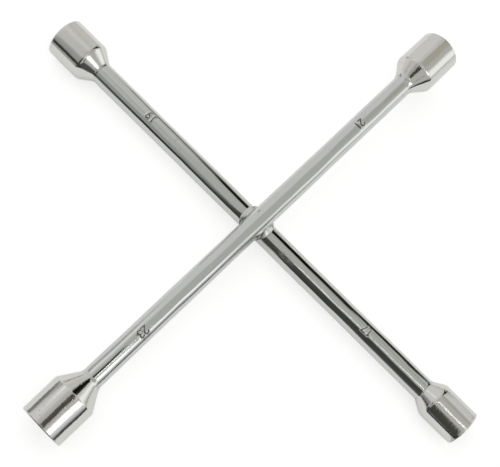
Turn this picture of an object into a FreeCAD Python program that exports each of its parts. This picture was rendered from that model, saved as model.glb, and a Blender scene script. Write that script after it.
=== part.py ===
import FreeCAD, Part
import math
import os
import Sketcher

# A four-way lug wrench: two round bars crossed and welded, with a hex socket on each of the four ends.
# Millimetres, +Z up. The rear bar lies along X and the front bar passes over it along Y. The origin is
# under the crossing, at the height of the lowest socket, so nothing reaches below z = 0.

V = FreeCAD.Vector
DOC = FreeCAD.newDocument("lug_wrench")
SHEET = DOC.addObject("Spreadsheet::Sheet", "sizes")
UP = V(0, 0, 1)

# Sizes that the whole wrench shares.
SHARED = {
    "overall": 355.0,          # mouth to mouth along each bar
    "rear_dia": 14.8,
    "front_dia": 13.8,
    "axis_gap": 11.0,          # between the bars' axes, less than a diameter because they sink together
    "hex_clearance": 0.2,      # added to the nut size across flats
    "hex_depth": 16.0,
    "bore_depth": 22.0,        # from the mouth to where the drill point starts
    "bore_step": 2.5,          # the stud bore is this much smaller than the hexagon across flats
    "drill_half_angle": 59.0,
    "mouth_flare": 0.8,        # the chamfer starts this much wider than the hexagon's corners
    "mouth_slope": 30.0,       # the chamfer's angle from the mouth's face
    "mouth_round": 0.6,
    "shoulder_round": 3.0,
    "weld_radius": 10.3,       # how far the collar reaches from the crossing's vertical line
    "weld_cover": 2.8,         # how thickly it lies on the bars
    "weld_span": 40.0,         # longer than the collar in every direction
    "notch_block": 40.0,       # side of the blocks that divide the bars at the weld plane
}

# Each socket: nut size, outside diameter, length of the barrel, length of the cone down to the bar.
SOCKETS = {
    "socket_17": {"nut": 17.0, "outer": 24.6, "barrel": 24.8, "cone": 8.2},
    "socket_19": {"nut": 19.0, "outer": 27.9, "barrel": 24.8, "cone": 9.8},
    "socket_21": {"nut": 21.0, "outer": 28.8, "barrel": 27.2, "cone": 11.4},
    "socket_23": {"nut": 23.0, "outer": 29.8, "barrel": 25.2, "cone": 12.6},
}

# The bar that carries each socket, and the direction in which its mouth looks.
ENDS = {
    "socket_17": ("rear", V(1, 0, 0)),
    "socket_19": ("rear", V(-1, 0, 0)),
    "socket_21": ("front", V(0, 1, 0)),
    "socket_23": ("front", V(0, -1, 0)),
}

# Sizes that follow from the others. The 19 mm socket hangs lowest, so it sets the rear bar's height.
DERIVED = {
    "rear_height": "socket_19_outer / 2",
    "front_height": "rear_height + axis_gap",
    "weld_height": "rear_height + axis_gap / 2",
}
for socket_name in SOCKETS:
    DERIVED[f"{socket_name}_length"] = f"{socket_name}_barrel + {socket_name}_cone"


def fill_sheet():
    """Write every size into the sheet, its name in column A and its value, with an alias, in column B."""
    rows = {name: str(value) for name, value in SHARED.items()}
    for socket, sizes in SOCKETS.items():
        for key, value in sizes.items():
            rows[f"{socket}_{key}"] = str(value)
    for name, formula in DERIVED.items():
        rows[name] = "=" + formula
    for row, (name, text) in enumerate(rows.items(), start=1):
        SHEET.set(f"A{row}", name)
        SHEET.set(f"B{row}", text)
        SHEET.setAlias(f"B{row}", name)
    DOC.recompute()


def number(formula):
    """What a formula on the sheet's sizes comes to now."""
    value = SHEET.evalExpression(formula)
    return float(getattr(value, "Value", value))


def bind(item, path, formula):
    """Tie one property of an object to a formula on the sheet's sizes."""
    item.setExpression(path, formula)


def place(item, turn, x="0", y="0", z="0"):
    """Turn an object, and tie its position to three formulas."""
    item.Placement = FreeCAD.Placement(V(number(x), number(y), number(z)), turn)
    for axis, formula in (("x", x), ("y", y), ("z", z)):
        bind(item, f"Placement.Base.{axis}", formula)


def add_sketch(body, name, role):
    """An empty sketch on one of the body's own origin planes."""
    plane = next(item for item in body.Origin.OriginFeatures if item.Role == role)
    sketch = body.newObject("Sketcher::SketchObject", name)
    sketch.AttachmentSupport = [(plane, "")]
    sketch.MapMode = "FlatFace"
    return sketch


def closed_outline(sketch, points):
    """Draw straight lines through the points and back, each joined to the next."""
    count = len(points)
    for index in range(count):
        start = V(*points[index], 0)
        end = V(*points[(index + 1) % count], 0)
        sketch.addGeometry(Part.LineSegment(start, end), False)
    for index in range(count):
        sketch.addConstraint(Sketcher.Constraint("Coincident", index, 2, (index + 1) % count, 1))


def hold(sketch, line, kind, formula, label):
    """Fix how far a line's start lies from the sketch's origin, in one direction, by a formula."""
    if formula == "0":
        axis = -2 if kind == "DistanceX" else -1
        sketch.addConstraint(Sketcher.Constraint("PointOnObject", line, 1, axis))
        return
    index = sketch.addConstraint(Sketcher.Constraint(kind, -1, 1, line, 1, number(formula)))
    sketch.renameConstraint(index, label)
    bind(sketch, f"Constraints.{label}", formula)


def turned(body, kind, name, corners):
    """Turn a half outline about the body's Z axis. Corners are formulas: out from the axis, then along it."""
    sketch = add_sketch(body, f"{name}_outline", "XZ_Plane")
    closed_outline(sketch, [(number(out), number(along)) for out, along in corners])
    for index, (out, along) in enumerate(corners):
        hold(sketch, index, "DistanceX", out, f"out{index}")
        hold(sketch, index, "DistanceY", along, f"along{index}")
    feature = body.newObject(kind, name)
    feature.Profile = sketch
    feature.ReferenceAxis = (sketch, ["V_Axis"])
    feature.Angle = 360.0
    DOC.recompute()
    return feature


def rounded(body, base, name, height, formula):
    """Round the circular edge that lies at one height on a turned shape."""
    edges = []
    for index, edge in enumerate(base.Shape.Edges, start=1):
        low = edge.BoundBox.ZMin
        high = edge.BoundBox.ZMax
        if abs(low - height) < 0.001 and abs(high - height) < 0.001 and hasattr(edge.Curve, "Radius"):
            edges.append(f"Edge{index}")
    feature = body.newObject("PartDesign::Fillet", name)
    feature.Base = (base, edges)
    bind(feature, "Radius", formula)
    DOC.recompute()
    return feature


def hexagon_pocket(body, node):
    """Broach the hexagon from the mouth down to its floor."""
    sketch = add_sketch(body, "hexagon", "XY_Plane")
    bind(sketch, "AttachmentOffset.Base.z", f"sizes.{node}_length")
    corners_across = f"(sizes.{node}_nut + sizes.hex_clearance) / cos(30 deg)"
    radius = number(corners_across) / 2
    sides = 6
    angles = [2 * math.pi * index / sides for index in range(sides)]
    closed_outline(sketch, [(radius * math.cos(angle), radius * math.sin(angle)) for angle in angles])
    circle = sketch.addGeometry(Part.Circle(V(0, 0, 0), UP, radius), True)
    sketch.addConstraint(Sketcher.Constraint("Coincident", circle, 3, -1, 1))
    for index in range(sides):
        sketch.addConstraint(Sketcher.Constraint("PointOnObject", index, 1, circle))
    for index in range(1, sides):
        sketch.addConstraint(Sketcher.Constraint("Equal", 0, index))
    sketch.addConstraint(Sketcher.Constraint("PointOnObject", 0, 1, -1))
    index = sketch.addConstraint(Sketcher.Constraint("Diameter", circle, 2 * radius))
    sketch.renameConstraint(index, "corners")
    bind(sketch, "Constraints.corners", corners_across)
    pocket = body.newObject("PartDesign::Pocket", "hexagon_pocket")
    pocket.Profile = sketch
    bind(pocket, "Length", "sizes.hex_depth")
    DOC.recompute()
    return pocket


def make_socket(node):
    """One socket, made as it would be on a lathe, then drilled, chamfered and broached."""
    bar, outward = ENDS[node]
    body = DOC.addObject("PartDesign::Body", node)
    body.Label = node
    mouth = f"sizes.{node}_length"
    outer = f"sizes.{node}_outer / 2"
    bore = f"(sizes.{node}_nut - sizes.bore_step) / 2"
    bore_end = f"{mouth} - sizes.bore_depth"
    flare = f"(sizes.{node}_nut + sizes.hex_clearance) / cos(30 deg) / 2 + sizes.mouth_flare / 2"
    blank = turned(body, "PartDesign::Revolution", "blank", [
        ("0", "0"),
        (f"sizes.{bar}_dia / 2", "0"),
        (outer, f"sizes.{node}_cone"),
        (outer, mouth),
        ("0", mouth),
    ])
    shoulder = rounded(body, blank, "shoulder", number(f"sizes.{node}_cone"), "sizes.shoulder_round")
    rim = rounded(body, shoulder, "rim", number(mouth), "sizes.mouth_round")
    steps = [rim]
    steps.append(turned(body, "PartDesign::Groove", "stud_bore", [
        ("0", mouth),
        (bore, mouth),
        (bore, bore_end),
        ("0", f"{bore_end} - {bore} / tan(sizes.drill_half_angle * 1 deg)"),
    ]))
    steps.append(turned(body, "PartDesign::Groove", "mouth_chamfer", [
        ("0", mouth),
        (flare, mouth),
        ("0", f"{mouth} - ({flare}) * tan(sizes.mouth_slope * 1 deg)"),
    ]))
    steps.append(hexagon_pocket(body, node))
    for before, after in zip(steps, steps[1:]):
        removed = before.Shape.Volume - after.Shape.Volume
        if removed <= 0:
            raise RuntimeError(f"{node}: {after.Name} cut nothing")
    reach = f"(sizes.overall / 2 - sizes.{node}_length)"
    place(body, FreeCAD.Rotation(UP, V(), outward, "ZXY"),
          x=f"{outward.x} * {reach}", y=f"{outward.y} * {reach}", z=f"sizes.{bar}_height")
    return body


def bar_stock(bar, start, end, direction):
    """The whole round bar before it meets the other one, from one socket's small end to the other's."""
    stock = DOC.addObject("Part::Cylinder", f"{bar}_stock")
    bind(stock, "Radius", f"sizes.{bar}_dia / 2")
    bind(stock, "Height", f"sizes.overall - sizes.{start}_length - sizes.{end}_length")
    reach = f"(sizes.{start}_length - sizes.overall / 2)"
    place(stock, FreeCAD.Rotation(UP, direction),
          x=f"{direction.x} * {reach}", y=f"{direction.y} * {reach}", z=f"sizes.{bar}_height")
    return stock


def half_space(name, z):
    """A block standing in for everything on one side of the weld plane."""
    block = DOC.addObject("Part::Box", name)
    for side in ("Length", "Width", "Height"):
        bind(block, side, "sizes.notch_block")
    place(block, FreeCAD.Rotation(), x="-sizes.notch_block / 2", y="-sizes.notch_block / 2", z=z)
    return block


def make_bar(bar, stock, other, block):
    """A bar with the share of the crossing that belongs to the other bar taken out of it."""
    share = DOC.addObject("Part::MultiCommon", f"{bar}_notch")
    share.Shapes = [other, block]
    piece = DOC.addObject("Part::Cut", f"{bar}_bar")
    piece.Base = stock
    piece.Tool = share
    piece.Label = f"{bar}_bar"
    return piece


def centred_cylinder(name, radius, length, direction, z):
    """A cylinder whose middle is on the crossing's vertical line, at a height given as a formula."""
    cylinder = DOC.addObject("Part::Cylinder", name)
    bind(cylinder, "Radius", radius)
    bind(cylinder, "Height", length)
    back = f"(-({length}) / 2)"
    place(cylinder, FreeCAD.Rotation(UP, direction),
          x=f"{direction.x} * {back}", y=f"{direction.y} * {back}", z=f"{z} + {direction.z} * {back}")
    return cylinder


def make_weld(stocks):
    """The collar of metal squeezed out round the crossing.

    It is everything that lies within weld_cover of both bars and within weld_radius of the crossing's
    vertical line, less the bars. That space climbs over the rear bar and dips under the front one.
    """
    limits = [centred_cylinder("weld_limit", "sizes.weld_radius", "sizes.weld_span", UP, "sizes.weld_height")]
    for bar, direction in (("rear", V(1, 0, 0)), ("front", V(0, 1, 0))):
        radius = f"sizes.{bar}_dia / 2 + sizes.weld_cover"
        limits.append(centred_cylinder(f"{bar}_halo", radius, "sizes.weld_span", direction,
                                       f"sizes.{bar}_height"))
    around = DOC.addObject("Part::MultiCommon", "round_crossing")
    around.Shapes = limits
    bars = DOC.addObject("Part::MultiFuse", "crossed_stock")
    bars.Shapes = stocks
    weld = DOC.addObject("Part::Cut", "centre_weld")
    weld.Base = around
    weld.Tool = bars
    weld.Label = "centre_weld"
    return weld


def meshed_volume(shape):
    """The volume inside the shape's own triangles."""
    points, triangles = shape.tessellate(0.02)
    return sum(points[a].dot(points[b].cross(points[c])) for a, b, c in triangles) / 6


def check(parts):
    """Stop if any object failed, or a sub-part is not one valid solid whose triangles agree with it."""
    for item in DOC.Objects:
        if "Invalid" in item.State or "Error" in item.State:
            raise RuntimeError(f"{item.Name} failed: {item.State}")
    for part in parts:
        shape = part.Shape
        if shape.isNull() or not shape.isValid() or len(shape.Solids) != 1:
            raise RuntimeError(f"{part.Label} is not one valid solid")
        meshed = meshed_volume(shape)
        if abs(meshed - shape.Volume) > 0.01 * shape.Volume:
            raise RuntimeError(f"{part.Label}: volume {shape.Volume:.1f} but triangles hold {meshed:.1f}")
        box = shape.optimalBoundingBox(False, False)
        print(f"{part.Label:12s} {shape.Volume:10.1f} mm3  x {box.XMin:.1f}..{box.XMax:.1f}"
              f"  y {box.YMin:.1f}..{box.YMax:.1f}  z {box.ZMin:.2f}..{box.ZMax:.2f}")


def main():
    fill_sheet()
    rear = bar_stock("rear", "socket_19", "socket_17", V(1, 0, 0))
    front = bar_stock("front", "socket_23", "socket_21", V(0, 1, 0))
    above = half_space("above_weld", "sizes.weld_height")
    below = half_space("below_weld", "sizes.weld_height - sizes.notch_block")
    parts = [make_bar("rear", rear, front, above), make_bar("front", front, rear, below)]
    parts.append(make_weld([rear, front]))
    for node in SOCKETS:
        parts.append(make_socket(node))
    DOC.recompute()
    check(parts)
    os.makedirs("parts", exist_ok=True)
    for part in parts:
        part.Shape.exportStep(f"parts/{part.Label}.step")


main()
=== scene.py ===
# %% [markdown]
# A four-way lug wrench is two round steel bars crossed and welded, with a hexagon socket on each end, all
# under one coat of chrome. The CAD parts have the right sizes but flat facets, and chrome shows every facet.
# So each part is made again here as a smooth surface in the same place, and the CAD part only sets its box.

# %% Load the frame
import math
import bpy
import numpy as np
from mathutils import Matrix, Vector


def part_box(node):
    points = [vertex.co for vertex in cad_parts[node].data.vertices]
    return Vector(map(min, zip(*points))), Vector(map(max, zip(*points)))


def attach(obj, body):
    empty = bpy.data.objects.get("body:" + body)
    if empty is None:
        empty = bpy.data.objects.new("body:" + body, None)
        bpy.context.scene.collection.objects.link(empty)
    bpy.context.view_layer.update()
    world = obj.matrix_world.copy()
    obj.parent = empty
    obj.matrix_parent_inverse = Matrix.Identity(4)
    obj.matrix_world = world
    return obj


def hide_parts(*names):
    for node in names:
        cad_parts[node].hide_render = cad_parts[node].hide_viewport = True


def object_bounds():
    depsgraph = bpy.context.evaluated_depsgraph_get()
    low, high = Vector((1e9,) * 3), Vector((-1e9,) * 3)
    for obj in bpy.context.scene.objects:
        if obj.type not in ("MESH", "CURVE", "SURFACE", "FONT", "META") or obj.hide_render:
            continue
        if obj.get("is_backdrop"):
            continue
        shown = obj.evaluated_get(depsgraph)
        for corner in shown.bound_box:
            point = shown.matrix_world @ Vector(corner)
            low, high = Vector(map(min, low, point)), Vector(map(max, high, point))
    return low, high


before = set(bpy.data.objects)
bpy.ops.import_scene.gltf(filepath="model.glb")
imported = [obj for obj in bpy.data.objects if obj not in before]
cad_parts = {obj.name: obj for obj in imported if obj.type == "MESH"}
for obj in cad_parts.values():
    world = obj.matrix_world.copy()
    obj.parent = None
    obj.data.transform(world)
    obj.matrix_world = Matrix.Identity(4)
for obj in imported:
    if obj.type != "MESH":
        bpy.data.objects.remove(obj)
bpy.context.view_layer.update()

MM = 0.001
UP = np.array([0.0, 0.0, 1.0])
print("nodes", sorted(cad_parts))

# %% [markdown]
# Every size comes from the CAD boxes, so the looks follow the design. A bar's box gives its radius and its
# ends, and a socket's box gives its outside radius, its length and the height of its axis.

# %% Read the sizes from the CAD boxes
def span(node, axis):
    """The lowest and highest coordinate of a CAD node along one axis, in metres."""
    low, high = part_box(node)
    return low[axis], high[axis]


BARS = {}
for bar, along, across in (("rear_bar", 0, 1), ("front_bar", 1, 0)):
    start, end = span(bar, along)
    low, high = span(bar, across)
    BARS[bar] = {"along": along, "start": start, "end": end, "radius": (high - low) / 2}
BARS["rear_bar"]["height"] = span("rear_bar", 2)[0] + BARS["rear_bar"]["radius"]
BARS["front_bar"]["height"] = span("front_bar", 2)[1] - BARS["front_bar"]["radius"]
WELD_HEIGHT = (BARS["rear_bar"]["height"] + BARS["front_bar"]["height"]) / 2
NUTS = {"socket_17": 17 * MM, "socket_19": 19 * MM, "socket_21": 21 * MM, "socket_23": 23 * MM}
print({bar: {key: round(value, 5) for key, value in sizes.items()} for bar, sizes in BARS.items()})

# %% [markdown]
# All the pieces are skins: rings of points carried along an axis and joined by quads. A ring can change
# its radius round the axis, which is how a round barrel turns into a hexagon at the mouth with no boolean.

# %% Rings to a closed mesh
def axis_frame(axis):
    """Two directions across an axis, the first straight up, that make a right-handed set with it."""
    return UP, np.cross(axis, UP)


def rings(axis, origin, stations, radii, angles):
    """Points at origin + station * axis + radius * (cos(angle) * up + sin(angle) * side)."""
    first, second = axis_frame(axis)
    turn = np.cos(angles)[..., None] * first + np.sin(angles)[..., None] * second
    return origin + stations[..., None] * axis + radii[..., None] * turn


def skin(name, points, start=None, end=None, grime_and_shade=None):
    """A mesh whose rows of points are joined by quads, closed round each row and by a fan at each end."""
    rows, columns = points.shape[:2]
    row = np.arange(rows - 1)[:, None] * columns
    here = np.arange(columns)[None, :]
    after = (here + 1) % columns
    corners = (row + here, row + after, row + columns + after, row + columns + here)
    faces = np.stack(corners, axis=-1).reshape(-1, 4).tolist()
    places = points.reshape(-1, 3)
    dirt_and_shade = np.zeros(len(places)) if grime_and_shade is None else grime_and_shade.reshape(-1)
    around = np.arange(columns)
    for pole, ring_start, flip in ((start, 0, True), (end, (rows - 1) * columns, False)):
        if pole is None:
            continue
        centre = np.full(columns, len(places))
        one, two = ring_start + around, ring_start + (around + 1) % columns
        fan = (two, one, centre) if flip else (one, two, centre)
        faces += np.stack(fan, axis=-1).tolist()
        places = np.vstack([places, pole])
        dirt_and_shade = np.append(dirt_and_shade, dirt_and_shade[ring_start])
    mesh = bpy.data.meshes.new(name)
    mesh.from_pydata(places.tolist(), [], faces)
    mesh.attributes.new("grime_and_shade", "FLOAT", "POINT").data.foreach_set("value", dirt_and_shade.astype(np.float32))
    return finished(name, mesh)


def paint(piece, name, values):
    """Store one number for each point of a piece's grid, and zero for its two end points."""
    padded = np.zeros(len(piece.data.vertices), dtype=np.float32)
    padded[:values.size] = values.ravel()
    piece.data.attributes.new(name, "FLOAT", "POINT").data.foreach_set("value", padded)


def finished(name, mesh, crease=math.radians(32)):
    """Link a mesh as an object at the origin, smooth except where two faces meet at a sharp angle."""
    mesh.shade_smooth()
    mesh.set_sharp_from_angle(angle=crease)
    piece = bpy.data.objects.new(name, mesh)
    bpy.context.scene.collection.objects.link(piece)
    low = np.array([corner[:] for corner in piece.bound_box]).min(axis=0)
    high = np.array([corner[:] for corner in piece.bound_box]).max(axis=0)
    print(name, len(mesh.polygons), "faces, box mm", np.round((high - low) / MM, 2))
    return piece

# %% [markdown]
# The nut size is hammered into each bar with a number punch. The punch pushes metal aside, so a stroke is a
# rounded groove with a faint raised lip. Each numeral is a few straight lines and arcs, and the groove's
# depth at a point depends only on how far it is from the nearest stroke.

# %% Number punches
def line_distance(x, y, ax, ay, bx, by):
    """Distance from each point to the straight stroke between (ax, ay) and (bx, by)."""
    dx, dy = bx - ax, by - ay
    part = np.clip(((x - ax) * dx + (y - ay) * dy) / (dx * dx + dy * dy), 0, 1)
    return np.hypot(x - ax - part * dx, y - ay - part * dy)


def arc_distance(x, y, cx, cy, radius, middle, half):
    """Distance to an arc: on its sweep the gap to the circle, beyond it the distance to the nearer end."""
    away = (np.degrees(np.arctan2(y - cy, x - cx)) - middle + 180) % 360 - 180
    turn = np.radians(middle + np.clip(away, -half, half))
    return np.hypot(x - cx - radius * np.cos(turn), y - cy - radius * np.sin(turn))


# Numerals on a cell 3 wide and 5 high: ("line", ax, ay, bx, by) or ("arc", cx, cy, radius, middle, half).
NUMERALS = {
    "1": [("line", 1.6, 0.0, 1.6, 5.0), ("line", 1.6, 5.0, 0.7, 4.1)],
    "2": [("arc", 1.5, 3.6, 1.4, 70, 100), ("line", 2.7, 2.9, 0.1, 0.0), ("line", 0.1, 0.0, 2.9, 0.0)],
    "3": [("arc", 1.4, 3.75, 1.2, 30, 120), ("arc", 1.4, 1.3, 1.3, -30, 120)],
    "7": [("line", 0.1, 5.0, 2.9, 5.0), ("line", 2.9, 5.0, 1.1, 0.0)],
    "9": [("arc", 1.5, 3.6, 1.4, 0, 180), ("line", 2.85, 3.3, 1.7, 0.0)],
}
STROKES = {"line": line_distance, "arc": arc_distance}
CELL_STEP = 3.7
CELL_HEIGHT = 5.0
NUMERAL_SCALE = 0.96 * MM
print(len(NUMERALS), "numerals,", round(CELL_HEIGHT * NUMERAL_SCALE / MM, 2), "mm high")


def stroke_distance(x, y, text):
    """Distance from each point to the nearest stroke of a numeral, in the punch's own cell units."""
    width = CELL_STEP * len(text) - 0.7
    nearest = np.full(x.shape, 99.0)
    for place, numeral in enumerate(text):
        for kind, *shape in NUMERALS[numeral]:
            left = x + width / 2 - CELL_STEP * place
            nearest = np.minimum(nearest, STROKES[kind](left, y + CELL_HEIGHT / 2, *shape))
    return nearest


def stamp_depth(x, y, text, depth=0.32 * MM, half_width=0.62, lip=0.07 * MM):
    """How far a stamp lowers the surface: a rounded groove less a low lip beside it."""
    away = stroke_distance(x / NUMERAL_SCALE, y / NUMERAL_SCALE, text)
    groove = np.clip(1 - away / half_width, 0, 1)
    groove = groove * groove * (3 - 2 * groove)
    ridge = np.exp(-((away - half_width * 1.25) / (half_width * 0.45)) ** 2)
    return depth * groove - lip * ridge, groove

# %% [markdown]
# A drawn bar is not a perfect cylinder. Here it is out of round by up to a tenth of a millimetre, too little
# to see on the outline, but enough to make the long reflections wander. The amount is chosen, not
# measured. The waves are in the surface itself, so they move correctly with the light in every view. They
# fade out where a bar meets a socket.

# %% Waves left by drawing and polishing
WAVE_LENGTHS = np.array([83.0, 47.0, 29.0, 17.0]) * MM
WAVE_SHARES = np.array([1.0, 0.6, 0.35, 0.2])
WAVE_LOBES = (2, 3, 2, 4)
print("waves of", np.round(WAVE_LENGTHS / MM), "mm")


def waves(station, angle, seed, height):
    """Sum of share * sin(2 pi * station / length + lobes * angle + phase); the lengths never line up."""
    total = np.zeros(np.broadcast(station, angle).shape)
    for index, (length, share, lobes) in enumerate(zip(WAVE_LENGTHS, WAVE_SHARES, WAVE_LOBES)):
        total += share * np.sin(2 * np.pi * station / length + lobes * angle + seed * (index + 1.3))
    return height * total / WAVE_SHARES.sum()


def fade(distance, reach):
    """0 at no distance, rising smoothly to 1 at the reach."""
    part = np.clip(distance / reach, 0, 1)
    return part * part * (3 - 2 * part)


def graded(start, end, coarse, zones):
    """Stations from start to end, spaced coarsely except inside zones given as (middle, half, spacing)."""
    stations = [np.arange(start, end, coarse), [start, end]]
    for middle, half, fine in zones:
        stations.append(np.arange(middle - half, middle + half, fine))
    merged = np.unique(np.round(np.clip(np.concatenate(stations), start, end), 7))
    return merged[np.concatenate([[True], np.diff(merged) > 0.04 * MM])]

# %% [markdown]
# A socket's outside is a turned outline: along the bar, up a cone, along a barrel and over the rim. Every
# corner of the outline is an arc, as on the real part, because a perfectly sharp edge catches no highlight.
# The hollow arc at the foot of the cone lies half on the bar and half on the socket, so one outline serves
# both pieces, and the reflection flows across their seam.

# %% The outline of each socket
HEX_CLEARANCE = 0.2 * MM
HEX_DEPTH = 16 * MM
BORE_DEPTH = 22 * MM
BORE_STEP = 2.5 * MM
MOUTH_FLARE = 0.4 * MM
CORNER_RELIEF = 0.25 * MM
MOUTH_SLOPE = math.tan(math.radians(30))
DRILL_SLOPE = 1 / math.tan(math.radians(59))
FILLETS = {"socket_17": 3.5 * MM, "socket_19": 3.5 * MM, "socket_21": 10 * MM, "socket_23": 7 * MM}
LEAD_IN = 6 * MM
SHOULDERS = {"socket_17": 5.5 * MM, "socket_19": 5.0 * MM, "socket_21": 3.6 * MM, "socket_23": 2.2 * MM}
CONES = {"socket_17": 8.2 * MM, "socket_19": 9.8 * MM, "socket_21": 11.4 * MM, "socket_23": 12.6 * MM}
SOCKET_ENDS = {"socket_17": ("rear_bar", 1), "socket_19": ("rear_bar", -1),
               "socket_21": ("front_bar", 1), "socket_23": ("front_bar", -1)}
RIM_ROUND = 0.9 * MM
OUTLINE_STEP = 1.0 * MM


def rounded_profile(corners, spacing):
    """Straight runs joined by arcs. Corners are (station, radius, rounding), and the runs are subdivided."""
    places = np.array([corner[:2] for corner in corners], dtype=float)
    path = [places[:1]]
    for index in range(1, len(corners) - 1):
        before, here, after = places[index - 1:index + 2]
        back = (before - here) / np.linalg.norm(before - here)
        forward = (after - here) / np.linalg.norm(after - here)
        half_turn = (np.pi - np.arccos(np.clip(back @ forward, -1, 1))) / 2
        cut = corners[index][2] * math.tan(half_turn)
        first, last = here + back * cut, here + forward * cut
        middle = here + (back + forward) / np.linalg.norm(back + forward) * (
            corners[index][2] / math.cos(half_turn))
        share = np.linspace(0, 1, 9)[:, None]
        chord = first + (last - first) * share - middle
        path.append(middle + chord / np.linalg.norm(chord, axis=1)[:, None] * corners[index][2])
    path.append(places[-1:])
    run = np.vstack(path)
    pieces = []
    for one, two in zip(run[:-1], run[1:]):
        count = max(1, int(np.linalg.norm(two - one) / spacing))
        pieces.append(one + (two - one) * np.linspace(0, 1, count, endpoint=False)[:, None])
    return np.vstack(pieces + [run[-1:]])


def socket_outline(node):
    """Stations from the bar's end and radii. Negative stations are the last millimetres of the bar."""
    bar, sense = SOCKET_ENDS[node]
    along = BARS[bar]["along"]
    low, high = span(node, along)
    across_low, across_high = span(node, 1 - along)
    length, outer, stem = high - low, (across_high - across_low) / 2, BARS[bar]["radius"]
    mouth = (NUTS[node] + HEX_CLEARANCE) / math.sqrt(3) + MOUTH_FLARE
    return rounded_profile([
        (-LEAD_IN, stem, 0.0), (0.0, stem, FILLETS[node]), (CONES[node], outer, SHOULDERS[node]),
        (length, outer, RIM_ROUND), (length, mouth, 0.0)], OUTLINE_STEP)


OUTLINES = {node: socket_outline(node) for node in SOCKET_ENDS}
print({node: len(outline) for node, outline in OUTLINES.items()}, "rings outside")

# %% [markdown]
# Where the bars cross, the weld has pressed each into the other. Each bar is pared back to the share of the
# crossing that the CAD gives it, so the two surfaces meet inside the weld and never pass through each other.

# %% The two bars
STAMPS = {
    "rear_bar": [("19", -96.5 * MM, 0.5), ("17", 94.8 * MM, 5.4)],
    "front_bar": [("23", -100.2 * MM, 12.3), ("21", 92.5 * MM, 1.3)],
}
STAMP_HALF, STAMP_GRID, PLAIN_GRID = 5.6 * MM, 0.11 * MM, 2.4 * MM
OTHER = {"rear_bar": "front_bar", "front_bar": "rear_bar"}
WAVE_HEIGHT = {"rear_bar": 0.085 * MM, "front_bar": 0.11 * MM}
WAVE_FADE = 8 * MM
# station, angle, half length, half width, depth
RUST = (27.5 * MM, 29.0, 4.6 * MM, 1.5 * MM)  # station, angle, half length, half width
PIT = {"rear_bar": (28.0 * MM, 28.0, 1.5 * MM, 0.5 * MM, 0.05 * MM),
       "front_bar": (2.6 * MM, -32.9, 0.9 * MM, 0.35 * MM, 0.12 * MM)}


def pared(points, bar):
    """Move points that lie inside the other bar back to its surface or to the weld plane."""
    other = BARS[OTHER[bar]]
    side = points[..., 1 - other["along"]]
    inside = np.clip(other["radius"] ** 2 - side ** 2, 0, None)
    reach = np.sqrt(inside)
    height = points[..., 2]
    if bar == "rear_bar":
        roof = np.maximum(WELD_HEIGHT, other["height"] - reach)
        return np.where(inside > 0, np.minimum(height, roof), height)
    floor = np.minimum(WELD_HEIGHT, other["height"] + reach)
    return np.where(inside > 0, np.maximum(height, floor), height)


def make_bar(bar):
    """radius(station, angle) = bar radius + waves - stamps, on a grid that is fine only at the stamps."""
    sizes = BARS[bar]
    axis = np.eye(3)[sizes["along"]]
    ends = [(sizes["start"], 5 * MM, 0.35 * MM), (sizes["end"], 5 * MM, 0.35 * MM)]
    zones = ends + [(place, STAMP_HALF, STAMP_GRID) for _, place, _ in STAMPS[bar]]
    zones += [(0.0, 12 * MM, 0.6 * MM), (PIT[bar][0], 3 * MM, 0.2 * MM)]
    stations = graded(sizes["start"], sizes["end"], PLAIN_GRID, zones)
    top = np.arange(-39.0, 42.0, 0.9)
    angles = np.radians(np.concatenate([top, np.arange(42.0, 321.0, 3.0)]))
    station, angle = np.meshgrid(stations, angles, indexing="ij")
    to_end = np.minimum(station - sizes["start"], sizes["end"] - station)
    uneven = waves(station, angle, seed=sizes["along"] + 1, height=WAVE_HEIGHT[bar])
    radius = sizes["radius"] + uneven * fade(to_end, WAVE_FADE)
    for node, (owner, sense) in SOCKET_ENDS.items():
        if owner == bar:
            past_end = station - sizes["end"] if sense > 0 else sizes["start"] - station
            radius += np.interp(past_end, *OUTLINES[node].T) - sizes["radius"]
    grime_and_shade = np.zeros(station.shape)
    for text, place, tilt in STAMPS[bar]:
        turned = (angle - math.radians(tilt) + np.pi) % (2 * np.pi) - np.pi
        lowered, groove = stamp_depth(place - station, sizes["radius"] * turned, text)
        radius -= lowered
        # The stamp grooves take the dark, dull tone: painted shade in the grooves.
        grime_and_shade = np.maximum(grime_and_shade, np.clip(1.1 * groove, 0, 1))
    place, tilt, half_long, half_wide, depth = PIT[bar]
    across = sizes["radius"] * ((angle - math.radians(tilt) + np.pi) % (2 * np.pi) - np.pi)
    dent = np.exp(-((station - place) / half_long) ** 2 - (across / half_wide) ** 2)
    radius -= depth * dent
    grime_and_shade = np.maximum(grime_and_shade, 0.9 * dent)
    grime_and_shade = np.maximum(grime_and_shade, 0.05 * np.exp(-to_end / (0.5 * MM)))
    origin = np.array([0.0, 0.0, sizes["height"]])
    points = rings(axis, origin, station, radius, angle)
    points[..., 2] = pared(points, bar)
    piece = skin(bar + "_skin", points, origin + axis * stations[0], origin + axis * stations[-1], grime_and_shade)
    if bar == "rear_bar":
        place, tilt, half_long, half_wide = RUST
        across = sizes["radius"] * (angle - math.radians(tilt))
        rust = np.exp(-((station - place) / half_long) ** 2 - (across / half_wide) ** 2)
        paint(piece, "rust", rust)
    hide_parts(bar)
    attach(piece, "root")
    return piece


bar_pieces = [make_bar(bar) for bar in BARS]

# %% [markdown]
# Inside, a socket is drilled, chamfered at the mouth and then broached to a hexagon. The skin follows the
# same order in one pass: over the rim, down the hexagon, into the drilled bore and to the drill's point.

# %% The four sockets
CORNERS_ROUND = 240


def hexagon(angles, flats):
    """Radius of a hexagon with a corner at angle 0: half the flats over cos of the angle from mid-flat."""
    from_flat = (angles % (np.pi / 3)) - np.pi / 6
    return np.minimum(flats / 2 / np.cos(from_flat), flats / math.sqrt(3) - CORNER_RELIEF)


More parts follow.
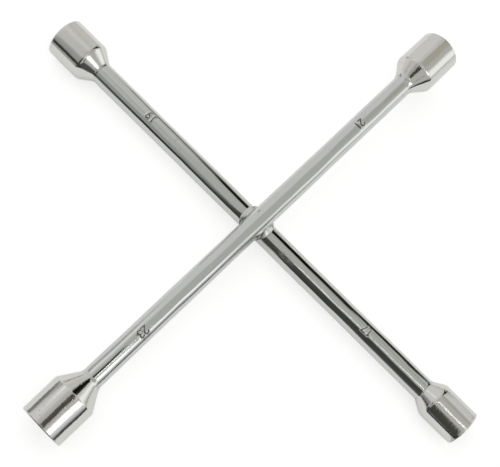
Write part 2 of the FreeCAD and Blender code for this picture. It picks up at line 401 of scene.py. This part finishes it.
def make_socket(node):
    """Outer rings keep one radius each, and the rings of the mouth blend from a circle to the hexagon."""
    bar, sense = SOCKET_ENDS[node]
    along = BARS[bar]["along"]
    axis = sense * np.eye(3)[along]
    low, high = span(node, along)
    length = high - low
    flats = NUTS[node] + HEX_CLEARANCE
    mouth = flats / math.sqrt(3) + MOUTH_FLARE
    bore = (NUTS[node] - BORE_STEP) / 2
    stem = BARS[bar]["radius"]
    outline = OUTLINES[node]
    foot = np.interp(0.0, *outline.T)
    outside = np.vstack([[0.0, foot], outline[outline[:, 0] > 1e-6]])
    angles = np.linspace(0, 2 * np.pi, CORNERS_ROUND, endpoint=False)
    station, angle = np.meshgrid(outside[:, 0], angles, indexing="ij")
    calm = fade(station, 4 * MM) * fade(length - station, 3 * MM)
    radius = outside[:, 1][:, None] + calm * waves(station, angle, seed=flats / MM, height=0.10 * MM)
    wall = hexagon(angles, flats)
    blend = np.linspace(0, 1, 5)[1:, None]
    stations, radii = [station], [radius]
    radii.append(mouth + (wall - mouth) * blend)
    stations.append(length - (mouth - radii[-1]) * MOUTH_SLOPE)
    depths = np.linspace(3 * MM, HEX_DEPTH, 7)[:, None]
    stations.append(length - depths + 0 * wall)
    radii.append(wall + 0 * depths)
    floor = bore + (wall - bore) * np.array([[0.5], [0.0]])
    radii.append(floor)
    stations.append(length - HEX_DEPTH + 0 * floor)
    for depth, share in ((BORE_DEPTH, 1.0), (BORE_DEPTH + bore * DRILL_SLOPE * 0.5, 0.5)):
        radii.append(np.full((1, CORNERS_ROUND), bore * share))
        stations.append(np.full((1, CORNERS_ROUND), length - depth))
    station, radius = np.vstack(stations), np.vstack(radii)
    origin = axis * (min(abs(low), abs(high))) + UP * BARS[bar]["height"]
    points = rings(axis, origin, station, radius, np.broadcast_to(angles, station.shape))
    around = np.broadcast_to(angles, station.shape)
    spots = np.clip(np.sin(2 * around + flats / MM) + 0.5 * np.sin(5 * around), 0, 1)
    joint = (0.05 + 0.4 * spots) * np.exp(-station / (0.5 * MM)) * (radius > stem * 0.9)
    inside = np.zeros(station.shape)
    # Darker and duller deeper into the socket: partly duller plating inside, partly painted shade in the bore.
    inside[len(outside):] = 0.45 * np.clip((length - station[len(outside):]) / HEX_DEPTH, 0, 1)
    tip = origin + axis * (length - BORE_DEPTH - bore * DRILL_SLOPE)
    piece = skin(node + "_skin", points, origin + axis * station[0, 0], tip, np.maximum(joint, inside))
    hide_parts(node)
    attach(piece, "root")
    return piece


socket_pieces = [make_socket(node) for node in SOCKET_ENDS]

# %% [markdown]
# Pressing two hot bars together squeezes a collar of metal out round the joint. It lies over the lower bar
# and tucks under the upper one, so its height follows cos(2 * angle), like a saddle, but flatter on top. The
# metal folds a little as it spreads, its rim curls into a rounded lip, and nothing on it is quite even.

# %% The weld collar
COLLAR_ROOT = 5.0 * MM
COLLAR_RIM = 10.95 * MM
COLLAR_OFFSET = (0.60 * MM, 0.80 * MM)
COLLAR_HALF = 0.62 * MM
COLLAR_RISE = 2.25 * MM
COLLAR_CLIMB = 3.4 * MM
COLLAR_LIFT = 0.2 * MM
COLLAR_FLAT = 1.3
COLLAR_UNEVEN = 0.048 * MM
COLLAR_TURNS, COLLAR_SECTIONS = 300, 80
# Painted shade beside the front bar on top of the collar: its place, its width, and how dark it is on the -X
# and +X sides.
CREASE_SHADE_AT, CREASE_SHADE_WIDE = 7.1 * MM, 0.4 * MM
CREASE_SHADE_LEFT, CREASE_SHADE_RIGHT = 0.55, 0.22
FOLDS = 3.4
FOLD_HEIGHT = 0.06 * MM


def make_collar():
    """height = lift + (rise + climb * inward^1.3) * saddle + half * sin(section) + folds on top.

    The saddle is cos(2 * angle), flattened, and inward goes from 0 at the rim to 1 at the root.
    """
    angles = np.linspace(0, 2 * np.pi, COLLAR_TURNS, endpoint=False)
    sections = np.linspace(0, 2 * np.pi, COLLAR_SECTIONS, endpoint=False)
    angle, section = np.meshgrid(angles, sections, indexing="ij")
    uneven = COLLAR_UNEVEN * (2 * np.sin(3 * angle + 0.6) + np.sin(5 * angle + 2.1))
    out = np.cos(section)
    inward = (1 - out) / 2
    rim = COLLAR_RIM - COLLAR_OFFSET[0] * np.cos(angle) - COLLAR_OFFSET[1] * np.sin(angle) + uneven
    radius = COLLAR_ROOT + (rim - COLLAR_ROOT) * (1 - inward)
    lip = np.exp(-((out - 0.75) / 0.30) ** 2)
    thick = COLLAR_HALF * (1 + 0.30 * lip + 0.04 * np.sin(7 * angle + 2 * section))
    saddle = np.tanh(COLLAR_FLAT * np.cos(2 * angle)) / math.tanh(COLLAR_FLAT)
    middle = WELD_HEIGHT + COLLAR_LIFT + (COLLAR_RISE + COLLAR_CLIMB * inward ** 1.3) * saddle
    folds = FOLD_HEIGHT * np.sin(2 * np.pi * FOLDS * inward + 0.3 * np.sin(3 * angle))
    height = middle + thick * np.sin(section) + folds * np.clip(np.sin(section), 0, 1)
    points = np.stack([radius * np.cos(angle), radius * np.sin(angle), height], axis=-1)
    # Painted shade: a dark band on the upper face of the collar, 7.1 mm either side of the front bar's axis,
    # darker on the -X side than on the +X side.
    crease_shade = np.exp(-((np.abs(points[..., 0]) - CREASE_SHADE_AT) / CREASE_SHADE_WIDE) ** 2) * (height > middle)
    crease_shade *= np.where(points[..., 0] < 0, CREASE_SHADE_LEFT, CREASE_SHADE_RIGHT)
    # A faint dulling all over the weld, the painted crease shade, and a painted shade outline along the
    # outermost edge of the rim.
    grime_and_shade = 0.05 + crease_shade + 0.5 * np.clip((out - 0.90) / 0.10, 0, 1)
    count, ring = points.shape[:2]
    row, column = np.arange(count)[:, None], np.arange(ring)[None, :]
    next_row, next_column = (row + 1) % count, (column + 1) % ring
    corners = (row * ring + column, next_row * ring + column, next_row * ring + next_column,
               row * ring + next_column)
    mesh = bpy.data.meshes.new("centre_weld_skin")
    faces = np.stack(np.broadcast_arrays(*corners), axis=-1).reshape(-1, 4)
    mesh.from_pydata(points.reshape(-1, 3).tolist(), [], faces.tolist())
    mesh.attributes.new("grime_and_shade", "FLOAT", "POINT").data.foreach_set("value", grime_and_shade.astype(np.float32).ravel())
    piece = finished("centre_weld_skin", mesh)
    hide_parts("centre_weld")
    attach(piece, "root")
    return piece


collar_piece = make_collar()

# %% [markdown]
# Chrome takes nearly all of its look from what it mirrors, so the finish is mostly about how clean the
# mirror is. Noise at three sizes does it: cloudy patches of haze, fine lines left along the bar by the
# polishing belt, and a scatter of tiny pits. The plating itself has a fine orange-peel texture, which makes
# the edges of the bands grainy. The grime attribute dulls and darkens the stamps, the joints and the weld:
# dirt at the joints and in the two dents, painted shade in the stamp grooves, in the weld's crease and along
# its rim, and deep in the sockets partly duller plating and partly painted shade. The rust attribute turns one
# speckled spot beside the weld brown and takes away its metal.

# %% Chrome
HAZE_SCALE, PIT_SCALE, PEEL_SCALE, SPECK_SCALE = 38.0, 420.0, 720.0, 900.0
BELT_DEPTH, PIT_DEPTH = 0.02 * MM, 0.08 * MM
DIRT_DULLS = 0.22


def node(tree, kind, **values):
    """Add one shader node. Names of its inputs are given with underscores for spaces."""
    made = tree.nodes.new(kind)
    for name, value in values.items():
        if hasattr(made, name):
            setattr(made, name, value)
        else:
            made.inputs[name.replace("_", " ")].default_value = value
    return made


def ramp(tree, source, low, high, from_low=0.0, from_high=1.0):
    """Carry a value from one range to another, held at both ends."""
    made = node(tree, "ShaderNodeMapRange", From_Min=from_low, From_Max=from_high, To_Min=low, To_Max=high)
    tree.links.new(source, made.inputs["Value"])
    return made.outputs["Result"]


def chrome(name, clean, dirt_and_shade_tone, rough_low, rough_high, grain, pits, peel_depth):
    """Plated steel. Grain is the noise scale along X, Y and Z, so its long direction is the polishing's."""
    material = bpy.data.materials.new(name)
    material.use_nodes = True
    tree = material.node_tree
    link = tree.links.new
    shader = tree.nodes["Principled BSDF"]
    shader.inputs["Metallic"].default_value = 1.0
    place = node(tree, "ShaderNodeTexCoord").outputs["Object"]
    dirt_and_shade = node(tree, "ShaderNodeAttribute", attribute_name="grime_and_shade").outputs["Fac"]
    rust = node(tree, "ShaderNodeAttribute", attribute_name="rust").outputs["Fac"]
    haze = node(tree, "ShaderNodeTexNoise", Scale=HAZE_SCALE, Detail=4.0, Roughness=0.6)
    link(place, haze.inputs["Vector"])
    stretch = node(tree, "ShaderNodeMapping", Scale=grain)
    link(place, stretch.inputs["Vector"])
    belt = node(tree, "ShaderNodeTexNoise", Scale=1.0, Detail=3.0)
    link(stretch.outputs["Vector"], belt.inputs["Vector"])
    cells = node(tree, "ShaderNodeTexVoronoi", Scale=PIT_SCALE)
    link(place, cells.inputs["Vector"])
    pit = ramp(tree, cells.outputs["Distance"], 1.0, 0.0, 0.0, pits)
    patch = ramp(tree, haze.outputs["Fac"], 0.0, 1.0, 0.58, 0.68)
    pitted = node(tree, "ShaderNodeMath", operation="MULTIPLY")
    link(pit, pitted.inputs[0])
    link(patch, pitted.inputs[1])
    worn_and_shaded = node(tree, "ShaderNodeMath", operation="MAXIMUM")
    link(pitted.outputs["Value"], worn_and_shaded.inputs[0])
    link(dirt_and_shade, worn_and_shaded.inputs[1])
    # The dark tone mixed in here is dirt at the joints and in the dents, painted shade in the stamp grooves
    # and on the weld, and deep in the sockets partly duller plating and partly painted shade.
    colour = node(tree, "ShaderNodeMix", data_type="RGBA")
    colour.inputs[6].default_value = (*clean, 1)
    colour.inputs[7].default_value = (*dirt_and_shade_tone, 1)
    link(worn_and_shaded.outputs["Value"], colour.inputs[0])
    specks = node(tree, "ShaderNodeTexNoise", Scale=SPECK_SCALE, Detail=3.0, Roughness=0.6)
    link(place, specks.inputs["Vector"])
    speckled = node(tree, "ShaderNodeMath", operation="MULTIPLY")
    link(rust, speckled.inputs[0])
    link(ramp(tree, specks.outputs["Fac"], 0.0, 1.0, 0.38, 0.60), speckled.inputs[1])
    rusted = node(tree, "ShaderNodeMix", data_type="RGBA")
    link(colour.outputs[2], rusted.inputs[6])
    rusted.inputs[7].default_value = (*RUST_BROWN, 1)
    link(speckled.outputs["Value"], rusted.inputs[0])
    link(rusted.outputs[2], shader.inputs["Base Color"])
    link(ramp(tree, speckled.outputs["Value"], 1.0, 0.2), shader.inputs["Metallic"])
    rough = ramp(tree, haze.outputs["Fac"], rough_low, rough_high, 0.3, 0.7)
    dull = node(tree, "ShaderNodeMath", operation="MULTIPLY_ADD")
    link(dirt_and_shade, dull.inputs[0])
    dull.inputs[1].default_value = DIRT_DULLS
    link(rough, dull.inputs[2])
    link(dull.outputs["Value"], shader.inputs["Roughness"])
    lines = node(tree, "ShaderNodeBump", Strength=0.35, Distance=BELT_DEPTH)
    link(belt.outputs["Fac"], lines.inputs["Height"])
    peel = node(tree, "ShaderNodeTexNoise", Scale=PEEL_SCALE, Detail=4.0, Roughness=0.60)
    link(place, peel.inputs["Vector"])
    dimples = node(tree, "ShaderNodeBump", Strength=1.0, Distance=peel_depth)
    link(peel.outputs["Fac"], dimples.inputs["Height"])
    link(dimples.outputs["Normal"], lines.inputs["Normal"])
    holes = node(tree, "ShaderNodeBump", Strength=0.5, Distance=PIT_DEPTH, invert=True)
    link(pitted.outputs["Value"], holes.inputs["Height"])
    link(lines.outputs["Normal"], holes.inputs["Normal"])
    link(holes.outputs["Normal"], shader.inputs["Normal"])
    return material


RUST_BROWN = (0.14, 0.068, 0.034)
ALONG_X = (60.0, 1500.0, 1500.0)
ALONG_Y = (1500.0, 60.0, 1500.0)
EVERY_WAY = (500.0, 500.0, 500.0)
BAR_CLEAN, SOCKET_CLEAN, WELD_CLEAN = (0.70, 0.71, 0.70), (0.765, 0.757, 0.735), (0.72, 0.72, 0.71)
DIRT_AND_SHADE_TONE = (0.10, 0.088, 0.078)
finishes = {
    "rear_bar_skin": chrome("rear_bar_chrome", BAR_CLEAN, DIRT_AND_SHADE_TONE, 0.045, 0.10, ALONG_X, 0.16, 0.010 * MM),
    "front_bar_skin": chrome("front_bar_chrome", BAR_CLEAN, DIRT_AND_SHADE_TONE, 0.04, 0.09, ALONG_Y, 0.18, 0.024 * MM),
    "centre_weld_skin": chrome("weld_chrome", WELD_CLEAN, DIRT_AND_SHADE_TONE, 0.20, 0.30, EVERY_WAY, 0.20, 0.03 * MM),
}
for socket, (bar, _) in SOCKET_ENDS.items():
    grain = ALONG_X if bar == "rear_bar" else ALONG_Y
    finishes[socket + "_skin"] = chrome(
        socket + "_chrome", SOCKET_CLEAN, DIRT_AND_SHADE_TONE, 0.06, 0.12, grain, 0.16, 0.040 * MM)
for piece in bar_pieces + socket_pieces + [collar_piece]:
    piece.data.materials.append(finishes[piece.name])
print(len(finishes), "finishes")

# %% [markdown]
# The wrench lies on a pale table. Its two bars cross at different heights, so it rests on three sockets and
# leans about three degrees. The table is laid through those three lowest points, so the shadows are true.
# The table glows a little, as a light table does, so it is nearly white, and the chrome does not mirror it.
# What the chrome mirrors instead is a card of another shape and brightness in the same place, which the
# camera does not see. This is a studio trick: a real floor would be one surface doing both.

# %% The table
def lowest(node, sense):
    """The lowest point of a socket, at its rim, from its CAD box."""
    low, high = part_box(node)
    bar, side = SOCKET_ENDS[node]
    along = BARS[bar]["along"]
    place = np.zeros(3)
    place[along] = (high if sense > 0 else low)[along]
    place[2] = low[2]
    return place


CLEAR_BELOW = 0.12 * MM
TABLE = [(-4.0, -4.0), (4.0, -4.0), (4.0, 4.0), (-4.0, 4.0)]
CARD = [(-0.17, -0.36), (-0.10, -0.36), (-0.03, -0.20), (0.05, -0.20), (0.128, -0.165), (0.19, -0.10),
        (0.182, -0.03), (0.182, 0.03), (0.19, 0.06), (0.30, 0.12), (0.55, 0.20),
        (0.55, 0.60), (-0.60, 0.60), (-0.60, -0.13), (-0.17, -0.13)]
rests = np.array([lowest("socket_17", 1), lowest("socket_19", -1), lowest("socket_23", -1)])
slope_x, slope_y, level = np.linalg.solve(np.column_stack([rests[:, :2], np.ones(3)]), rests[:, 2])


def flat_sheet(name, outline, drop, colour, glow):
    """A sheet with the given corners on the plane under the sockets, drop metres below it."""
    corners = np.array(outline)
    heights = corners @ np.array([slope_x, slope_y]) + level - drop
    mesh = bpy.data.meshes.new(name)
    mesh.from_pydata(np.column_stack([corners, heights]).tolist(), [], [tuple(range(len(corners)))])
    sheet = bpy.data.objects.new(name, mesh)
    bpy.context.scene.collection.objects.link(sheet)
    paper = bpy.data.materials.new(name)
    paper.use_nodes = True
    shader = paper.node_tree.nodes["Principled BSDF"]
    shader.inputs["Base Color"].default_value = (colour, colour, colour, 1)
    shader.inputs["Roughness"].default_value = 0.9
    shader.inputs["Specular IOR Level"].default_value = 0.0
    shader.inputs["Emission Color"].default_value = (1, 1, 1, 1)
    shader.inputs["Emission Strength"].default_value = glow
    mesh.materials.append(paper)
    sheet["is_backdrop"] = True
    return sheet


TABLE_GREY, TABLE_GLOW = 0.45, 0.68
CARD_GREY, CARD_GLOW = 0.86, 0.10
table = flat_sheet("table", TABLE, CLEAR_BELOW * 2, TABLE_GREY, TABLE_GLOW)
table.visible_glossy = False
card = flat_sheet("mirror_card", CARD, CLEAR_BELOW, CARD_GREY, CARD_GLOW)
card.visible_camera = card.visible_diffuse = card.visible_shadow = False
print("table leans", round(math.degrees(math.atan(math.hypot(slope_x, slope_y))), 2), "degrees")

# %% [markdown]
# Chrome shows whatever surrounds it, so the light is designed as surroundings and not as one plain softbox.
# It is an even grey tent with soft patches on it, arranged like a room: a bright window to one side, a paler
# wall opposite, a dark doorway in front and a dark strip behind. Each patch is an angle round, a height, half
# sizes, a softness and a colour. They were chosen by working out which way each part of the chrome mirrors
# and how bright it should look there, and then adjusted. The bands on the chrome come from them and
# would be different in other surroundings. The camera sees a plain backdrop in their place.

# %% The studio
SKY = (0.515, 0.52, 0.49)
BACKDROP = (0.93, 0.93, 0.93)
# name, azimuth, elevation, half width, half height, softness (degrees), colour
PATCHES = [
    ("side_wall", 165, 30, 43, 36, 9, (0.70, 0.70, 0.69)),
    ("left_wall", -140, 49, 13, 18, 6, (0.60, 0.60, 0.59)),
    ("side_wall_low", 181, 1, 4.5, 12, 4, (0.20, 0.20, 0.21)),
    ("side_post", 175, 20, 4, 4, 2, (0.28, 0.28, 0.29)),
    ("side_lamp", 174, 42, 5, 5, 3, (1.00, 1.00, 1.00)),
    ("corner_left", -143, 18, 9, 8, 4, (0.28, 0.28, 0.28)),
    ("corner_low", -135, 8, 7, 5, 2, (0.05, 0.05, 0.05)),
    ("dim_wall", -112, 36, 14, 17, 6, (0.37, 0.37, 0.36)),
    ("front_wall", -80, 10, 43, 13, 5, (0.07, 0.072, 0.065)),
    ("front_wall_right", -45, 20, 11, 8, 3, (0.08, 0.08, 0.075)),
    ("front_wall_dark", -88, 8, 30, 9, 3, (0.02, 0.025, 0.02)),
    ("front_low_left", -114, 1, 6, 6, 3, (0.40, 0.40, 0.39)),
    ("front_low_right", -83, 3, 4, 7, 2, (0.42, 0.42, 0.41)),
    ("doorway", -86.5, 34, 16.5, 27, 3, (0.06, 0.062, 0.052)),
    ("low_window", 46, 17, 27, 14, 7, (1.05, 1.06, 1.04)),
    ("window", -5, 40, 14, 13, 4, (1.65, 1.65, 1.63)),
    ("window_low", 13, 31, 6, 7, 4, (1.35, 1.35, 1.33)),
    ("window_sill", 4, 18, 12, 5, 3, (0.74, 0.75, 0.76)),
    ("under_window", 4, 8, 12, 4, 3, (0.40, 0.41, 0.43)),
    ("beam", 85, 55, 28, 5, 6, (0.43, 0.42, 0.35)),
    ("upper_wall", 113, 28, 5, 29, 3, (0.64, 0.64, 0.62)),
    ("right_wall", 75, 22, 5, 22, 3, (0.70, 0.70, 0.69)),
    ("back_strip", 95.5, 31, 8, 17, 1.5, (0.004, 0.005, 0.003)),
    ("back_strip_right", 85, 17, 4, 17, 1.2, (0.022, 0.024, 0.018)),
    ("back_strip_left", 104, 12, 4.5, 8, 2, (0.20, 0.20, 0.19)),
    ("back_floor", 93, 1, 6, 6, 3, (0.76, 0.76, 0.75)),
    ("ceiling_glow", -10, 77, 25, 4, 3, (0.85, 0.85, 0.84)),
    ("skirting", -46, -2, 55, 6, 2, (0.036, 0.040, 0.052)),
    ("skirting_right", 17, -3, 8, 7, 3, (0.14, 0.14, 0.15)),
]
world = bpy.data.worlds.new("studio")
world.use_nodes = True
sky = world.node_tree
for old in list(sky.nodes):
    sky.nodes.remove(old)
direction = node(sky, "ShaderNodeTexCoord").outputs["Generated"]
parts = node(sky, "ShaderNodeSeparateXYZ")
sky.links.new(direction, parts.inputs[0])


def sky_math(operation, one, two=None):
    """One step of arithmetic on sockets or numbers."""
    step = node(sky, "ShaderNodeMath", operation=operation)
    for index, value in enumerate((one, two)):
        if isinstance(value, (int, float)):
            step.inputs[index].default_value = value
        elif value is not None:
            sky.links.new(value, step.inputs[index])
    return step.outputs["Value"]


azimuth = sky_math("ARCTAN2", parts.outputs["Y"], parts.outputs["X"])
elevation = sky_math("ARCSINE", parts.outputs["Z"])


def within(value, middle, half, soft):
    """1 inside middle +- half, falling smoothly to 0 over the softness, in degrees, across the +-180 seam."""
    away = sky_math("SUBTRACT", value, math.radians(middle))
    wrapped = sky_math("WRAP", away, math.pi)
    wrapped.node.inputs[2].default_value = -math.pi
    edge = node(sky, "ShaderNodeMapRange", interpolation_type="SMOOTHSTEP",
                From_Min=math.radians(half + soft), From_Max=math.radians(half - soft))
    sky.links.new(sky_math("ABSOLUTE", wrapped), edge.inputs["Value"])
    return edge.outputs["Result"]


seen = node(sky, "ShaderNodeRGB").outputs["Color"]
seen.default_value = (*SKY, 1)
for name, turn, height, half_width, half_height, soft, colour in PATCHES:
    share = sky_math("MULTIPLY", within(azimuth, turn, half_width, soft),
                     within(elevation, height, half_height, soft))
    mix = node(sky, "ShaderNodeMix", data_type="RGBA")
    sky.links.new(share, mix.inputs[0])
    sky.links.new(seen, mix.inputs[6])
    mix.inputs[7].default_value = (*colour, 1)
    seen = mix.outputs[2]
plain = node(sky, "ShaderNodeMix", data_type="RGBA")
sky.links.new(node(sky, "ShaderNodeLightPath").outputs["Is Camera Ray"], plain.inputs[0])
sky.links.new(seen, plain.inputs[6])
plain.inputs[7].default_value = (*BACKDROP, 1)
background = node(sky, "ShaderNodeBackground")
sky.links.new(plain.outputs[2], background.inputs["Color"])
sky.links.new(background.outputs[0], node(sky, "ShaderNodeOutputWorld").inputs["Surface"])
bpy.context.scene.world = world
bpy.context.scene.view_settings.view_transform = "Standard"
print(len(PATCHES), "patches in the sky")

# %% [markdown]
# The tent is too dim to make the table pale, so one large lamp overhead lights it. The lamp is hidden from
# mirror reflections, because the patches above already are what the chrome should show.

# %% The lamp
LAMP_HEIGHT, LAMP_SIZE, LAMP_POWER = 1.6, 2.2, 10.0
lamp_data = bpy.data.lights.new("overhead_lamp", "AREA")
lamp_data.shape = "DISK"
lamp_data.size = LAMP_SIZE
lamp_data.energy = LAMP_POWER
lamp = bpy.data.objects.new("overhead_lamp", lamp_data)
lamp.location = (-0.25, 0.2, LAMP_HEIGHT)
lamp.visible_glossy = False
bpy.context.scene.collection.objects.link(lamp)

print("lamp", LAMP_POWER, "W at", LAMP_HEIGHT, "m")

# %% [markdown]
# Two more reflectors are too close for a patch of sky, because each part of the wrench should see them at a
# different angle. A dark panel hangs over socket_23 and darkens only what that end mirrors. A thin bright
# tube higher up draws a fine white line along one arm of the rear bar. Only mirror reflections see either.

# %% The panel and the tube
PANEL_TOP = 0.20
PANEL = [(-0.012, -0.098), (-0.010, -0.200), (0.058, -0.200), (0.055, -0.150), (0.034, -0.098)]
panel_mesh = bpy.data.meshes.new("dark_panel")
panel_mesh.from_pydata([(x, y, PANEL_TOP) for x, y in PANEL], [], [tuple(range(len(PANEL)))])
panel = bpy.data.objects.new("dark_panel", panel_mesh)
bpy.context.scene.collection.objects.link(panel)
shade = bpy.data.materials.new("panel_brown")
shade.use_nodes = True
shade.node_tree.nodes["Principled BSDF"].inputs["Base Color"].default_value = (0, 0, 0, 1)
shade.node_tree.nodes["Principled BSDF"].inputs["Emission Color"].default_value = (1, 0.90, 0.80, 1)
shade.node_tree.nodes["Principled BSDF"].inputs["Emission Strength"].default_value = 0.06
panel_mesh.materials.append(shade)
panel.visible_camera = panel.visible_diffuse = panel.visible_shadow = False
panel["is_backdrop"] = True

TUBE = ((0.0, -0.245), (0.36, -0.02), 0.66, 0.010)
(x0, y0), (x1, y1), top, width = TUBE
tube_mesh = bpy.data.meshes.new("tube")
tube_corners = [(x0, y0, top), (x0, y0 + width, top), (x1, y1 + width, top), (x1, y1, top)]
tube_mesh.from_pydata(tube_corners, [], [(0, 1, 2, 3)])
tube = bpy.data.objects.new("tube", tube_mesh)
bpy.context.scene.collection.objects.link(tube)
glow = bpy.data.materials.new("tube_glow")
glow.use_nodes = True
glow.node_tree.nodes["Principled BSDF"].inputs["Emission Color"].default_value = (1, 1, 0.97, 1)
glow.node_tree.nodes["Principled BSDF"].inputs["Emission Strength"].default_value = 4.0
tube_mesh.materials.append(glow)
tube.visible_camera = tube.visible_diffuse = tube.visible_shadow = False
tube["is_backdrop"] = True
print("panel at", PANEL_TOP, "m, tube at", top, "m")

# %% [markdown]
# The camera looks steeply down at the crossing from the side of socket_23, and is rolled so that the bars
# make an X. Its place is given as an azimuth, an elevation and a distance from the point that it looks at.

# %% The camera
CAMERA_AZIMUTH, CAMERA_ELEVATION, CAMERA_ROLL = -69.29, 71.92, 24.87
CAMERA_DISTANCE, CAMERA_LENS = 0.54257, 62.58
LOOKS_AT = Vector((1.25 * MM, -8.36 * MM, WELD_HEIGHT))
turn, rise = math.radians(CAMERA_AZIMUTH), math.radians(CAMERA_ELEVATION)
back = Vector((math.cos(rise) * math.cos(turn), math.cos(rise) * math.sin(turn), math.sin(rise)))
upright = (-back).to_track_quat("-Z", "Y").to_matrix().to_4x4()
camera_data = bpy.data.cameras.new("camera")
camera_data.lens = CAMERA_LENS
camera_data.sensor_width = 36.0
camera = bpy.data.objects.new("camera", camera_data)
rolled = upright @ Matrix.Rotation(math.radians(CAMERA_ROLL), 4, "Z")
camera.matrix_world = Matrix.Translation(LOOKS_AT + back * CAMERA_DISTANCE) @ rolled
bpy.context.scene.collection.objects.link(camera)
bpy.context.scene.camera = camera
print("camera at mm", [round(value / MM, 1) for value in camera.matrix_world.translation])

# %% [markdown]
# Last, the box of the finished looks, leaving out the table and the reflectors, is printed.

# %% Sizes, and the end
low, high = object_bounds()
print("visual box mm", [round(value / MM, 2) for value in (*low, *high)])
